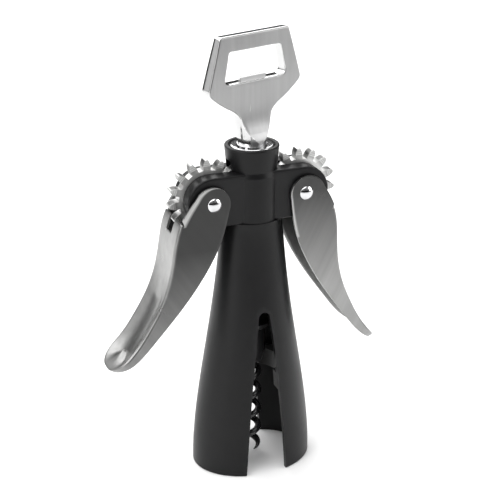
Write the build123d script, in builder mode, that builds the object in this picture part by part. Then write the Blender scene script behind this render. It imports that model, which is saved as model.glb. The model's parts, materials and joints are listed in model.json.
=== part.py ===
from build123d import *
from math import atan, cos, pi, radians, sin, sqrt, tan
import os

os.makedirs("parts", exist_ok=True)

# Lever corkscrew. Millimetres, +Z up, origin on the body's axis at the plane it stands on.
# X runs from the left lever to the right one, and the front slot faces -Y.
# The spindle is at its lowest and both levers hang part open, as the object lies on a table.

# ---------------------------------------------------------------- driving dimensions
# Bell, the lower half of the body
base_half_x = 26.3
base_half_y = 20.2
neck_half_x = 12.9
neck_half_y = 11.3
bell_wall = 2.4
# height share, then how much of the way the two half axes still are from neck to base
bell_shape = [
    (0.00, 1.00, 1.00),
    (0.08, 0.985, 0.99),
    (0.23, 0.87, 0.90),
    (0.45, 0.585, 0.70),
    (0.73, 0.225, 0.28),
    (1.00, 0.00, 0.00),
]
# Slots in the bell's front and back
slot_height = 75.2
slot_tip_half = 2.5
slot_middle_half = 6.7
front_slot_base_half = 9.3
back_slot_base_half = 11.0
# Bottle seat
seat_bottom = 38.0
seat_height = 8.0
seat_bore_radius = 12.5
# Column, yoke and collar
pivot_spacing = 40.0
pivot_height = 124.0
ear_radius = 10.6
yoke_half_depth = 8.7
column_radius = 11.0
collar_waist_radius = 10.3
collar_rim_radius = 11.3
collar_rise = 20.4
yoke_edge_radius = 0.8
gear_side_clearance = 0.5
gear_slot_clearance = 1.2
# Gears and rack
tooth_count_full = 15
module = 1.93
pressure_angle = 20.0
gear_half_thickness = 2.2
gear_teeth = 9
first_tooth_angle = 42.3
tooth_backlash = 0.50
ring_radius = 7.0
ring_count = 6
core_clearance = 0.35
lever_swing_up = 117.0
working_pitches = 4
free_swing_clearance = 0.4
# Spindle
shaft_radius = 6.0
spigot_radius = 2.8
spigot_length = 7.5
flange_overhang = 0.63
flange_thickness = 3.0
flange_edge_radius = 0.5
collar_bore_clearance = 0.17
thrust_washer_thickness = 1.0
guide_clearance = 0.08
guide_bush_wall = 1.32
guide_bush_drop = 26.0
spindle_play = 0.05
# Ferrule and worm
ferrule_shoulder_radius = 8.0
ferrule_radius = 6.0
ferrule_nose_radius = 4.7
ferrule_length = 18.8
ferrule_pin_radius = 1.0
shaft_tail_radius = 2.6
shaft_tail_length = 12.0
worm_outer_radius = 4.6
wire_radius = 1.4
worm_pitch = 9.1
worm_tip_height = 2.8
worm_point_angle = 25.0
worm_point_rise = 1.12
worm_shank_length = 5.0
worm_shank_drop = 5.5
# Opener head
head_turn = 17.0
head_height = 45.8
head_top_half = 17.2
head_side_half = 23.4
head_side_rise = 24.4
head_top_half_thickness = 1.9
head_side_half_thickness = 2.6
head_neck_radius = 6.0
head_neck_top_radius = 9.4
head_neck_height = 16.0
head_corner_radius = 0.9
window_top_rise = 39.6
window_bottom_rise = 26.8
window_top_half = 12.9
window_bottom_half = 15.7
window_corner_radius = 3.2
opener_lip_half = 6.5
opener_lip_height = 1.8
opener_lip_thickness = 1.4
# Levers
left_rest_angle = 32.8
right_rest_angle = 26.2
lever_length = 82.0
lever_half_width = 10.6
lever_sheet = 1.5
lever_tip_radius = 9.0
web_start = 13.0
web_notch_half = 3.2
web_notch_end = 19.0
cheek_gap = 0.4
# Pivots
rivet_radius = 2.0
rivet_head_overhang = 1.0
rivet_head_height = 1.2
rivet_end_length = 0.5
ear_bush_wall = 0.95
pivot_clearance = 0.05
pivot_washer_overhang = 2.5
pivot_washer_thickness = 0.3

# ---------------------------------------------------------------- worked-out dimensions
pivot_x = pivot_spacing / 2
collar_top = pivot_height + collar_rise
head_top = collar_top + head_height
head_side_height = collar_top + head_side_rise
window_top = collar_top + window_top_rise
window_bottom = collar_top + window_bottom_rise
bell_height = pivot_height - ear_radius
pitch_radius = module * tooth_count_full / 2
circular_pitch = pi * module
tooth_angle = 360 / tooth_count_full
tip_radius = pitch_radius + module
root_radius = pitch_radius - 1.25 * module
base_circle_radius = pitch_radius * cos(radians(pressure_angle))
core_radius = pivot_x - tip_radius - core_clearance
ring_pitch_radius = pivot_x - pitch_radius
gear_slot_radius = tip_radius + gear_slot_clearance
gear_slot_half = gear_half_thickness + gear_side_clearance
guide_bore_radius = ring_radius + guide_clearance
column_bore_radius = guide_bore_radius + guide_bush_wall
guide_bush_bottom = pivot_height - guide_bush_drop
bell_bore_height = guide_bush_bottom - 1


def tip_circle_reach(radius):
    """Half height of the gears' tip circles where they cut a cylinder on the body's axis."""
    return sqrt(tip_radius**2 - (pivot_x - radius) ** 2)


# With the levers fully up, the third gap of the gear teeth holds the top ring.
meshed_ring_height = pivot_height + pitch_radius * radians(
    first_tooth_angle + 2.5 * tooth_angle - lever_swing_up
)
ring_rim_half = circular_pitch / 4 - (ring_radius - ring_pitch_radius) * tan(radians(pressure_angle))
top_ring_height = pivot_height - tip_circle_reach(ring_radius) - ring_rim_half - free_swing_clearance
spindle_stroke = meshed_ring_height - top_ring_height + working_pitches * circular_pitch

guide_bush_top = pivot_height - tip_circle_reach(column_bore_radius) - 0.5
shaft_bottom = pivot_height + tip_circle_reach(shaft_radius) + 0.5
flange_bottom = collar_top - flange_thickness
flange_radius = column_bore_radius + flange_overhang
collar_bore_radius = flange_radius + collar_bore_clearance
collar_bore_bottom = flange_bottom - thrust_washer_thickness - spindle_play
ferrule_top = guide_bush_bottom - spindle_stroke - 0.3
ferrule_bottom = ferrule_top - ferrule_length
worm_helix_radius = worm_outer_radius - wire_radius
cheek_inner = yoke_half_depth + cheek_gap
ear_bush_bore = rivet_radius + pivot_clearance
ear_bush_radius = ear_bush_bore + ear_bush_wall
pivot_washer_radius = rivet_radius + pivot_washer_overhang
rivet_head_radius = rivet_radius + rivet_head_overhang
rivet_dome_radius = (rivet_head_radius**2 + rivet_head_height**2) / (2 * rivet_head_height)


# ---------------------------------------------------------------- body
def bell_sections(inset):
    """Height and half axes of the bell's oval sections, drawn in by inset."""
    for height_share, x_share, y_share in bell_shape:
        half_x = neck_half_x + (base_half_x - neck_half_x) * x_share - inset
        half_y = neck_half_y + (base_half_y - neck_half_y) * y_share - inset
        yield bell_height * height_share, half_x, half_y


with BuildPart() as bell_hollow:
    for height, half_x, half_y in bell_sections(bell_wall):
        with BuildSketch(Plane.XY.offset(height)):
            Ellipse(half_x, half_y)
    loft()
    split(bisect_by=Plane.XY.offset(bell_bore_height), keep=Keep.BOTTOM)

with BuildPart() as bell_slots:
    slot_reach = base_half_y + 5
    for base_half, cut_depth in ((front_slot_base_half, slot_reach), (back_slot_base_half, -slot_reach)):
        with BuildSketch(Plane.XZ):
            with BuildLine():
                middle = (slot_middle_half * base_half / front_slot_base_half, slot_height * 0.46)
                side = Spline((base_half, -1), middle, (slot_tip_half, slot_height - slot_tip_half))
                ThreePointArc(side @ 1, (0, slot_height), (-slot_tip_half, slot_height - slot_tip_half))
                mirror(side, about=Plane.YZ)
                Line((-base_half, -1), (base_half, -1))
            make_face()
        extrude(amount=cut_depth)

with BuildPart() as yoke:
    with BuildSketch(Plane.XZ):
        with Locations((0, pivot_height)):
            SlotCenterToCenter(pivot_spacing, 2 * ear_radius)
    extrude(amount=yoke_half_depth, both=True)
    fillet(yoke.faces().filter_by(Axis.Y).edges(), yoke_edge_radius)

with BuildPart() as body_shell:
    for height, half_x, half_y in bell_sections(0):
        with BuildSketch(Plane.XY.offset(height)):
            Ellipse(half_x, half_y)
    loft()
    fillet(body_shell.faces().sort_by(Axis.Z)[0].edges(), bell_wall / 3)
    # column with the flared collar on top
    with BuildSketch(Plane.XZ):
        with BuildLine():
            waist_height = pivot_height + ear_radius
            Polyline(
                (0, bell_height - 8),
                (column_radius - 1, bell_height - 8),
                (column_radius, bell_height),
                (column_radius, waist_height - 2),
                (collar_waist_radius, waist_height),
            )
            Spline(
                (collar_waist_radius, waist_height),
                (collar_waist_radius + 0.45, waist_height + 4),
                (collar_rim_radius, collar_top),
            )
            Polyline((collar_rim_radius, collar_top), (0, collar_top), (0, bell_height - 8))
        make_face()
    revolve(axis=Axis.Z)
    add(yoke.part)
    # room for the gears
    with BuildSketch(Plane.XZ):
        with Locations((-pivot_x, pivot_height), (pivot_x, pivot_height)):
            Circle(gear_slot_radius)
    extrude(amount=gear_slot_half, both=True, mode=Mode.SUBTRACT)
    # bores of the ear bushes
    with BuildSketch(Plane.XZ):
        with Locations((-pivot_x, pivot_height), (pivot_x, pivot_height)):
            Circle(ear_bush_radius)
    extrude(amount=yoke_half_depth + 1, both=True, mode=Mode.SUBTRACT)
    # hollow bell, its slots and the stepped bore of the column
    add(bell_hollow.part, mode=Mode.SUBTRACT)
    add(bell_slots.part, mode=Mode.SUBTRACT)
    with BuildSketch(Plane.XY.offset(bell_bore_height - 1)):
        Circle(column_bore_radius)
    extrude(amount=collar_top - bell_bore_height + 2, mode=Mode.SUBTRACT)
    with BuildSketch(Plane.XY.offset(collar_bore_bottom)):
        Circle(collar_bore_radius)
    extrude(amount=collar_top - collar_bore_bottom + 1, mode=Mode.SUBTRACT)
    collar_rim = body_shell.faces().filter_by(Plane.XY).sort_by(Axis.Z)[-1]
    fillet(collar_rim.edges(), 0.6)

body_shell.part.label = "body_shell"
export_step(body_shell.part, "parts/body_shell.step")

with BuildPart() as guide_bush:
    with BuildSketch(Plane.XY.offset(guide_bush_bottom)):
        Circle(column_bore_radius)
        Circle(guide_bore_radius, mode=Mode.SUBTRACT)
    extrude(amount=guide_bush_top - guide_bush_bottom)

guide_bush.part.label = "guide_bush"
export_step(guide_bush.part, "parts/guide_bush.step")

with BuildPart() as bottle_seat:
    with BuildSketch(Plane.XY.offset(seat_bottom)):
        Circle(base_half_x)
    extrude(amount=seat_height)
    add(bell_hollow.part, mode=Mode.INTERSECT)
    with BuildSketch(Plane.XY.offset(seat_bottom)):
        Circle(seat_bore_radius)
    extrude(amount=seat_height, mode=Mode.SUBTRACT)
    add(bell_slots.part, mode=Mode.SUBTRACT)

bottle_seat.part.label = "bottle_seat"
export_step(bottle_seat.part, "parts/bottle_seat.step")

for side, side_x in (("left", -pivot_x), ("right", pivot_x)):
    with BuildPart() as ear_bushes:
        for depth in (-yoke_half_depth, gear_slot_half):
            with BuildSketch(Plane.XZ.offset(depth)):
                with Locations((side_x, pivot_height)):
                    Circle(ear_bush_radius)
                    Circle(ear_bush_bore, mode=Mode.SUBTRACT)
            extrude(amount=yoke_half_depth - gear_slot_half)

    ear_bushes.part.label = f"{side}_ear_bushes"
    export_step(ear_bushes.part, f"parts/{side}_ear_bushes.step")

# ---------------------------------------------------------------- spindle
with BuildPart() as thrust_washer:
    with BuildSketch(Plane.XY.offset(flange_bottom - thrust_washer_thickness)):
        Circle(flange_radius - 0.1)
        Circle(shaft_radius + 0.1, mode=Mode.SUBTRACT)
    extrude(amount=thrust_washer_thickness - spindle_play)

thrust_washer.part.label = "thrust_washer"
export_step(thrust_washer.part, "parts/thrust_washer.step")

with BuildPart() as spindle_flange:
    with BuildSketch(Plane.XY.offset(flange_bottom)):
        Circle(flange_radius)
        Circle(spigot_radius, mode=Mode.SUBTRACT)
    extrude(amount=flange_thickness)
    top_edges = spindle_flange.edges().filter_by(GeomType.CIRCLE).group_by(Axis.Z)[-1]
    fillet(top_edges.sort_by(SortBy.RADIUS)[-1], flange_edge_radius)

spindle_flange.part.label = "spindle_flange"
export_step(spindle_flange.part, "parts/spindle_flange.step")


def ring_profile():
    """Points of the rack's half profile, from the bottom of the lowest ring to the top of the highest."""
    slope = tan(radians(pressure_angle))
    pitch_half = (circular_pitch - tooth_backlash) / 4
    root_half = pitch_half + (ring_pitch_radius - core_radius) * slope
    rim_half = pitch_half - (ring_radius - ring_pitch_radius) * slope
    for ring in reversed(range(ring_count)):
        height = top_ring_height - ring * circular_pitch
        yield core_radius, height - root_half
        yield ring_radius, height - rim_half
        yield ring_radius, height + rim_half
        yield core_radius, height + root_half


with BuildPart() as rack_shaft:
    with BuildSketch(Plane.XZ):
        with BuildLine():
            Polyline(
                (0, ferrule_top - shaft_tail_length),
                (shaft_tail_radius, ferrule_top - shaft_tail_length),
                (shaft_tail_radius, ferrule_top),
                (core_radius, ferrule_top),
                *ring_profile(),
                (core_radius, shaft_bottom),
                (shaft_radius, shaft_bottom),
                (shaft_radius, flange_bottom),
                (spigot_radius, flange_bottom),
                (spigot_radius, collar_top + spigot_length),
                (0, collar_top + spigot_length),
                close=True,
            )
        make_face()
    revolve(axis=Axis.Z)
    with BuildSketch(Plane.YZ):
        with Locations((0, ferrule_top - shaft_tail_length / 2)):
            Circle(ferrule_pin_radius)
    extrude(amount=shaft_tail_radius + 1, both=True, mode=Mode.SUBTRACT)

rack_shaft.part.label = "rack_shaft"
export_step(rack_shaft.part, "parts/rack_shaft.step")

with BuildPart() as worm_ferrule:
    with BuildSketch(Plane.XZ):
        with BuildLine():
            shank_top = ferrule_bottom + worm_shank_length
            Polyline(
                (wire_radius, ferrule_bottom),
                (ferrule_nose_radius, ferrule_bottom),
                (ferrule_radius, ferrule_bottom + 5),
                (ferrule_radius, ferrule_top - 3),
                (ferrule_shoulder_radius, ferrule_top - 1.5),
                (ferrule_shoulder_radius, ferrule_top),
                (shaft_tail_radius, ferrule_top),
                (shaft_tail_radius, ferrule_top - shaft_tail_length),
                (0, ferrule_top - shaft_tail_length),
                (0, shank_top),
                (wire_radius, shank_top),
                close=True,
            )
        make_face()
    revolve(axis=Axis.Z)
    with BuildSketch(Plane.YZ):
        with Locations((0, ferrule_top - shaft_tail_length / 2)):
            Circle(ferrule_pin_radius)
    extrude(amount=ferrule_radius + 1, both=True, mode=Mode.SUBTRACT)

worm_ferrule.part.label = "worm_ferrule"
export_step(worm_ferrule.part, "parts/worm_ferrule.step")

with BuildPart() as ferrule_pin:
    with BuildSketch(Plane.YZ):
        with Locations((0, ferrule_top - shaft_tail_length / 2)):
            Circle(ferrule_pin_radius)
    extrude(amount=ferrule_radius - 0.2, both=True)

ferrule_pin.part.label = "ferrule_pin"
export_step(ferrule_pin.part, "parts/ferrule_pin.step")


coil_bottom = worm_tip_height
coil_height = ferrule_bottom - worm_shank_drop - coil_bottom
coil_turns = coil_height / worm_pitch

with BuildPart() as wound_wire:
    with BuildLine() as coil_path:
        Helix(worm_pitch, coil_height, worm_helix_radius)
    coil = coil_path.line
    # above the coil the wire leaves for the axis and runs up into the ferrule
    with BuildLine() as wire_path:
        add(coil)
        Spline(coil @ 1, (0, 0, coil_height + worm_shank_drop), tangents=(coil % 1, (0, 0, 1)))
        Line(
            (0, 0, coil_height + worm_shank_drop),
            (0, 0, coil_height + worm_shank_drop + worm_shank_length),
        )
    with BuildSketch(Plane(origin=coil @ 0, z_dir=coil % 0)):
        Circle(wire_radius)
    sweep(path=wire_path.wire())
    # the point is ground from below, at a slant to the wire
    slant = coil % 0 * sin(radians(worm_point_angle)) + Vector(0, 0, 1) * cos(radians(worm_point_angle))
    point = coil @ 0 + Vector(0, 0, worm_point_rise)
    with BuildSketch(Plane(origin=point, x_dir=coil % 0, z_dir=-slant)):
        with Locations((2 * wire_radius, 0)):
            Rectangle(8 * wire_radius, 3 * wire_radius)
    extrude(amount=4 * wire_radius, mode=Mode.SUBTRACT)

with BuildPart() as worm:
    with Locations(Location((0, 0, coil_bottom), (0, 0, -360 * coil_turns))):
        add(wound_wire.part)

worm.part.label = "worm"
export_step(worm.part, "parts/worm.step")

# ---------------------------------------------------------------- opener head
head_plane = Plane(
    origin=(0, 0, 0),
    x_dir=(cos(radians(head_turn)), sin(radians(head_turn)), 0),
    z_dir=(sin(radians(head_turn)), -cos(radians(head_turn)), 0),
)
head_side_plane = Plane(
    origin=(0, 0, 0),
    x_dir=head_plane.z_dir,
    z_dir=-head_plane.x_dir,
)
neck_top = collar_top + head_neck_height
shoulder_bottom = collar_top + 7

with BuildPart() as head_depth:
    # all that lies between the two faces, which sweep out to the round neck at the bottom
    with BuildSketch(head_side_plane):
        with BuildLine():
            face = Line(
                (head_top_half_thickness, head_top + 1),
                (head_side_half_thickness, head_side_height - 8),
            )
            sweep_out = Spline(
                face @ 1,
                (head_side_half_thickness + 1.0, collar_top + 8.6),
                (head_neck_radius + 0.3, collar_top + 1.5),
                tangents=(face % 1, (1, -1)),
            )
            Polyline(
                sweep_out @ 1,
                (head_neck_radius + 0.3, collar_top),
                (0, collar_top),
                (0, head_top + 1),
                face @ 0,
            )
        make_face()
        mirror(about=Plane.YZ)
    extrude(amount=head_side_half + 5, both=True)

with BuildPart() as opener_head:
    # the plate, from its top corners down to the shoulders that run into the neck
    with BuildSketch(head_plane) as plate_outline:
        with BuildLine():
            shoulder = Spline(
                (head_side_half, head_side_height),
                (head_side_half * 0.69, head_side_height - 5.9),
                (head_side_half * 0.39, head_side_height - 10.4),
                (head_neck_radius, shoulder_bottom),
                tangents=((-1.0, -1.05), (-0.25, -1.0)),
            )
            Polyline(
                shoulder @ 1,
                (0, shoulder_bottom),
                (0, head_top),
                (head_top_half, head_top),
                shoulder @ 0,
            )
        make_face()
        mirror(about=Plane.YZ)
        side_corners = plate_outline.vertices().sort_by(Axis.X)
        fillet([side_corners[0], side_corners[-1]], head_corner_radius * 2)
        fillet(plate_outline.vertices().group_by(Axis.Y)[-1], head_corner_radius)
    extrude(amount=head_neck_radius, both=True)
    add(head_depth.part, mode=Mode.INTERSECT)
    # the window with its rounded lower corners
    with BuildSketch(head_plane) as window:
        with BuildLine():
            Polyline(
                (-window_bottom_half, window_bottom),
                (window_bottom_half, window_bottom),
                (window_top_half, window_top),
                (-window_top_half, window_top),
                close=True,
            )
        make_face()
        fillet(window.vertices().group_by(Axis.Y)[0], window_corner_radius)
        fillet(window.vertices().group_by(Axis.Y)[-1], window_corner_radius / 4)
    extrude(amount=head_neck_radius, both=True, mode=Mode.SUBTRACT)
    # the round neck, cut flat by the two faces
    with BuildSketch(Plane.XZ):
        with BuildLine():
            neck_side = Spline(
                (head_neck_radius, collar_top),
                (head_neck_radius + 1.1, collar_top + 7.0),
                (head_neck_top_radius, neck_top),
            )
            Polyline(neck_side @ 1, (0, neck_top), (0, collar_top), neck_side @ 0)
        make_face()
    neck = revolve(axis=Axis.Z, mode=Mode.PRIVATE)
    add(neck & head_depth.part)
    # the lip that catches a bottle cap
    with BuildSketch(head_plane):
        with Locations((0, window_bottom)):
            Rectangle(2 * opener_lip_half, 2 * opener_lip_height)
    extrude(amount=opener_lip_thickness / 2, both=True)
    # socket of the shaft
    with BuildSketch(Plane.XY.offset(collar_top)):
        Circle(spigot_radius)
    extrude(amount=spigot_length, mode=Mode.SUBTRACT)

opener_head.part.label = "opener_head"
export_step(opener_head.part, "parts/opener_head.step")


# ---------------------------------------------------------------- levers
# A lever's side outline: share of its length from the pivot, and offset outwards
outer_edge = [
    (0.018, 8.2),
    (0.14, 8.5),
    (0.22, 7.2),
    (0.38, 1.8),
    (0.56, -2.4),
    (0.71, -3.2),
    (0.87, -2.4),
    (1.0, 0.4),
]
inner_edge = [
    (1.007, -0.9),
    (0.93, -4.6),
    (0.75, -8.6),
    (0.52, -11.5),
    (0.31, -12.4),
    (0.13, -10.7),
    (-0.012, -6.9),
]
lever_crown = (-7.0, 0.6)


def edge_points(edge, inset=0):
    """Points of a lever edge in its plane, moved inwards by inset."""
    return [(lever_length * share, offset - inset) for share, offset in edge]


def lever_planes(side, rest_angle):
    """Side plane and top plane of a lever, at its pivot and turned to its rest angle."""
    out = -1 if side == "left" else 1
    pivot = Vector(out * pivot_x, 0, pivot_height)
    along = Vector(out * sin(radians(rest_angle)), 0, -cos(radians(rest_angle)))
    outwards = Vector(out * cos(radians(rest_angle)), 0, sin(radians(rest_angle)))
    return (
        Plane(origin=pivot, x_dir=along, z_dir=along.cross(outwards)),
        Plane(origin=pivot, x_dir=along, z_dir=outwards),
    )


def involute_half_angle(radius):
    """Half the angle that a gear tooth spans at a radius, in radians."""
    if radius < base_circle_radius:
        radius = base_circle_radius
    roll = sqrt((radius / base_circle_radius) ** 2 - 1)
    pitch_roll = tan(radians(pressure_angle))
    at_pitch = (circular_pitch - tooth_backlash) / 4 / pitch_radius
    return at_pitch + (pitch_roll - radians(pressure_angle)) - (roll - atan(roll))


def flank_point(radius):
    """Point of a tooth's flank at a radius, the tooth lying along X."""
    half_angle = involute_half_angle(radius)
    return radius * cos(half_angle), radius * sin(half_angle)


for side, rest_angle in (("left", left_rest_angle), ("right", right_rest_angle)):
    out = -1 if side == "left" else 1
    side_plane, top_plane = lever_planes(side, rest_angle)
    # gear angles are counted from the rack upwards
    gear_plane = Plane(origin=side_plane.origin, x_dir=(-out, 0, 0), z_dir=(0, out, 0))

    with BuildPart() as lever_hollow:
        with BuildSketch(side_plane):
            with BuildLine():
                roof = Spline(*edge_points(outer_edge, lever_sheet))
                Polyline(
                    roof @ 1,
                    (lever_length + 5, 0),
                    (lever_length + 5, -2 * lever_half_width),
                    (-lever_half_width, -2 * lever_half_width),
                    (-lever_half_width, (roof @ 0).Y),
                    roof @ 0,
                )
            make_face()
        extrude(amount=lever_half_width - lever_sheet, both=True)
        with BuildSketch(top_plane) as hollow_plan:
            with Locations((lever_length / 2 - lever_sheet - 10, 0)):
                Rectangle(lever_length + 20, 2 * (lever_half_width - lever_sheet))
            fillet(hollow_plan.vertices().group_by(Axis.X)[-1], lever_tip_radius - lever_sheet)
        extrude(amount=3 * lever_half_width, both=True, mode=Mode.INTERSECT)

    with BuildPart() as lever:
        with BuildSketch(side_plane):
            with BuildLine():
                outer = Spline(*edge_points(outer_edge))
                inner = Spline(*edge_points(inner_edge))
                ThreePointArc(inner @ 1, lever_crown, outer @ 0)
                Line(outer @ 1, inner @ 0)
            make_face()
        extrude(amount=lever_half_width, both=True)
        with BuildSketch(top_plane) as lever_plan:
            with Locations((lever_length / 2 - 9, 0)):
                Rectangle(lever_length + 20, 2 * lever_half_width)
            fillet(lever_plan.vertices().group_by(Axis.X)[-1], lever_tip_radius)
        extrude(amount=3 * lever_half_width, both=True, mode=Mode.INTERSECT)
        add(lever_hollow.part, mode=Mode.SUBTRACT)
        # the web stops short of the gear, with a notch for its last tooth
        with BuildSketch(side_plane):
            with Locations((web_start - 15, 0)):
                Rectangle(30, 40)
        extrude(amount=lever_half_width - lever_sheet, both=True, mode=Mode.SUBTRACT)
        with BuildSketch(side_plane):
            with Locations((web_notch_end - 10, 10)):
                Rectangle(20, 20)
        extrude(amount=web_notch_half, both=True, mode=Mode.SUBTRACT)
        with BuildSketch(side_plane):
            Circle(rivet_radius)
        extrude(amount=lever_half_width, both=True, mode=Mode.SUBTRACT)

    lever.part.label = f"{side}_lever"
    export_step(lever.part, f"parts/{side}_lever.step")

    with BuildPart() as gear:
        with BuildSketch(gear_plane):
            Circle(root_radius)
            with BuildSketch(mode=Mode.PRIVATE) as tooth:
                with BuildLine():
                    shoulder_radius = tip_radius - 0.35
                    flank = Spline(
                        flank_point(base_circle_radius),
                        flank_point(pitch_radius),
                        flank_point((pitch_radius + shoulder_radius) / 2),
                        flank_point(shoulder_radius),
                    )
                    Line((root_radius - 1, (flank @ 0).Y), flank @ 0)
                    mirror(about=Plane.XZ)
                    ThreePointArc(flank @ 1, (tip_radius, 0), ((flank @ 1).X, -(flank @ 1).Y))
                    Line((root_radius - 1, (flank @ 0).Y), (root_radius - 1, -(flank @ 0).Y))
                make_face()
            teeth_span = (gear_teeth - 1) * tooth_angle
            with PolarLocations(0, gear_teeth, first_tooth_angle, teeth_span, endpoint=True):
                add(tooth.sketch)
            Circle(rivet_radius, mode=Mode.SUBTRACT)
        extrude(amount=gear_half_thickness, both=True)

    gear.part.label = f"{side}_gear"
    export_step(gear.part, f"parts/{side}_gear.step")

    # the rivet's axis is the side plane's normal; its front end is domed
    rivet_axis = Axis(side_plane.origin, (0, 1, 0))
    rivet_plane = Plane(origin=side_plane.origin, x_dir=(0, 1, 0), z_dir=(1, 0, 0))
    with BuildPart() as pivot_rivet:
        with BuildSketch(rivet_plane):
            with BuildLine():
                head = RadiusArc(
                    (-lever_half_width - rivet_head_height, 0),
                    (-lever_half_width, rivet_head_radius),
                    rivet_dome_radius,
                )
                Polyline(
                    head @ 1,
                    (-lever_half_width, rivet_radius),
                    (lever_half_width + rivet_end_length, rivet_radius),
                    (lever_half_width + rivet_end_length, 0),
                    head @ 0,
                )
            make_face()
        revolve(axis=rivet_axis)

    pivot_rivet.part.label = f"{side}_pivot_rivet"
    export_step(pivot_rivet.part, f"parts/{side}_pivot_rivet.step")

    with BuildPart() as rivet_cap:
        with BuildSketch(rivet_plane):
            with BuildLine():
                dome = RadiusArc(
                    (lever_half_width, rivet_head_radius),
                    (lever_half_width + rivet_head_height, 0),
                    rivet_dome_radius,
                )
                Polyline(
                    dome @ 1,
                    (lever_half_width + rivet_end_length, 0),
                    (lever_half_width + rivet_end_length, rivet_radius),
                    (lever_half_width, rivet_radius),
                    dome @ 0,
                )
            make_face()
        revolve(axis=rivet_axis)

    rivet_cap.part.label = f"{side}_rivet_cap"
    export_step(rivet_cap.part, f"parts/{side}_rivet_cap.step")

    with BuildPart() as pivot_washers:
        for depth in (-cheek_inner, cheek_inner - pivot_washer_thickness):
            with BuildSketch(Plane.XZ.offset(depth)):
                with Locations((out * pivot_x, pivot_height)):
                    Circle(pivot_washer_radius)
                    Circle(rivet_radius, mode=Mode.SUBTRACT)
            extrude(amount=pivot_washer_thickness)

    pivot_washers.part.label = f"{side}_pivot_washers"
    export_step(pivot_washers.part, f"parts/{side}_pivot_washers.step")
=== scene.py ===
"""A double-lever corkscrew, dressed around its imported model.

Metres, +Z up. The origin is on the body's axis in the plane the corkscrew stands on,
X runs from the left lever to the right one, and the front slot faces -Y.
"""

import json
import logging
from dataclasses import dataclass, field, replace
from enum import Enum
from functools import cache
from math import cos, pi, radians, sin
from typing import Any, Sequence

import bmesh
import bpy
import numpy as np
from mathutils import Euler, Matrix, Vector

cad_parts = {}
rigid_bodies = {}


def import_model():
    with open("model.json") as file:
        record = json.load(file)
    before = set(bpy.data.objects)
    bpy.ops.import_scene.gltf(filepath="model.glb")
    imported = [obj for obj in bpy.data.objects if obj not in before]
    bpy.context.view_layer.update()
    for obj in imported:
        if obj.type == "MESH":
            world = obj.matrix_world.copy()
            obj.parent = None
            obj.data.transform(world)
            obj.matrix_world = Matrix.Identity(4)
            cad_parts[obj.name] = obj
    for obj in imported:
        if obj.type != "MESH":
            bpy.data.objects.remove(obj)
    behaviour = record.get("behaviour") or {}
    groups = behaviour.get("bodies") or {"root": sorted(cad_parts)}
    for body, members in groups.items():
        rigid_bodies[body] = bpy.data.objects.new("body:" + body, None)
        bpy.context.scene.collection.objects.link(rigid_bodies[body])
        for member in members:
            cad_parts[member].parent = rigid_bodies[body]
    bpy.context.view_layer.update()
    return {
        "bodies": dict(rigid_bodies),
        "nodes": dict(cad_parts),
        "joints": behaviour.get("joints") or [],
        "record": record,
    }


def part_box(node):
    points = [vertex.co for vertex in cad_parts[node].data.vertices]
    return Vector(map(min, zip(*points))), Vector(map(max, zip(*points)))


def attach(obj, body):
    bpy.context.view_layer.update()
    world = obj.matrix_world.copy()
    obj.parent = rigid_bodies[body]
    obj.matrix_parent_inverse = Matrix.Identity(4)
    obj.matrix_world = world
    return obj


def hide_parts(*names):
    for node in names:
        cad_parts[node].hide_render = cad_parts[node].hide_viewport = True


LOG = logging.getLogger("corkscrew")
MM = 0.001
Triple = tuple[float, float, float]
Grid = np.ndarray

# millimetres: doubles within MERGE are joined, edges shorter than SLIVER go, and HAIR is a gap
# too small to see, which keeps a surface from closing on its neighbour
MERGE = 0.002
SLIVER = 0.001
HAIR = 0.02

FLANGE_TOP = 144.4
LEFT_REST_ANGLE = 32.8
RIGHT_REST_ANGLE = 26.2

# a colour Mix node's two colour inputs and its colour output, by number
MIX_FIRST, MIX_SECOND, MIX_RESULT = 6, 7, 2


# ------------------------------------------------------------------ mesh making
def smooth_curve(knots: Sequence[float], values: Sequence[float], at: Grid) -> Grid:
    """Natural cubic spline through values at knots, read at other places.

    The second derivatives at the knots solve the usual three-band system, and each span
    is the cubic that those derivatives and the two end values fix.

    Args:
        knots: rising places along the curve.
        values: value at each knot.
        at: places to read, kept within the knots.

    Returns:
        The curve's values at those places.
    """
    x, y = np.asarray(knots, float), np.asarray(values, float)
    gap, slope = np.diff(x), np.diff(y) / np.diff(x)
    count = len(x)
    bands = np.eye(count)
    inner = np.arange(1, count - 1)
    bands[inner, inner - 1] = gap[:-1]
    bands[inner, inner] = 2 * (gap[:-1] + gap[1:])
    bands[inner, inner + 1] = gap[1:]
    bend = np.linalg.solve(bands, np.concatenate(([0.0], 6 * np.diff(slope), [0.0])))
    where = np.clip(at, x[0], x[-1])
    span = np.clip(np.searchsorted(x, where, side="right") - 1, 0, count - 2)
    left, right = where - x[span], x[span + 1] - where
    cubic = (bend[span] * right**3 + bend[span + 1] * left**3) / (6 * gap[span])
    start = (y[span] / gap[span] - bend[span] * gap[span] / 6) * right
    end = (y[span + 1] / gap[span] - bend[span + 1] * gap[span] / 6) * left
    return cubic + start + end


def grid_faces(rows: int, columns: int, round_rows: bool, round_columns: bool) -> Grid:
    """Corner numbers of the four-sided faces of a grid of points, row by row.

    Args:
        rows: points along the first parameter.
        columns: points along the second parameter.
        round_rows: whether the last row joins the first one.
        round_columns: whether the last column joins the first one.

    Returns:
        One row of four corner numbers per face.
    """
    i = np.arange(rows if round_rows else rows - 1)[:, None]
    j = np.arange(columns if round_columns else columns - 1)[None, :]
    below, above = i * columns, (i + 1) % rows * columns
    here, there = j, (j + 1) % columns
    corners = np.stack((below + here, below + there, above + there, above + here), axis=-1)
    return corners.reshape(-1, 4)


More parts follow.
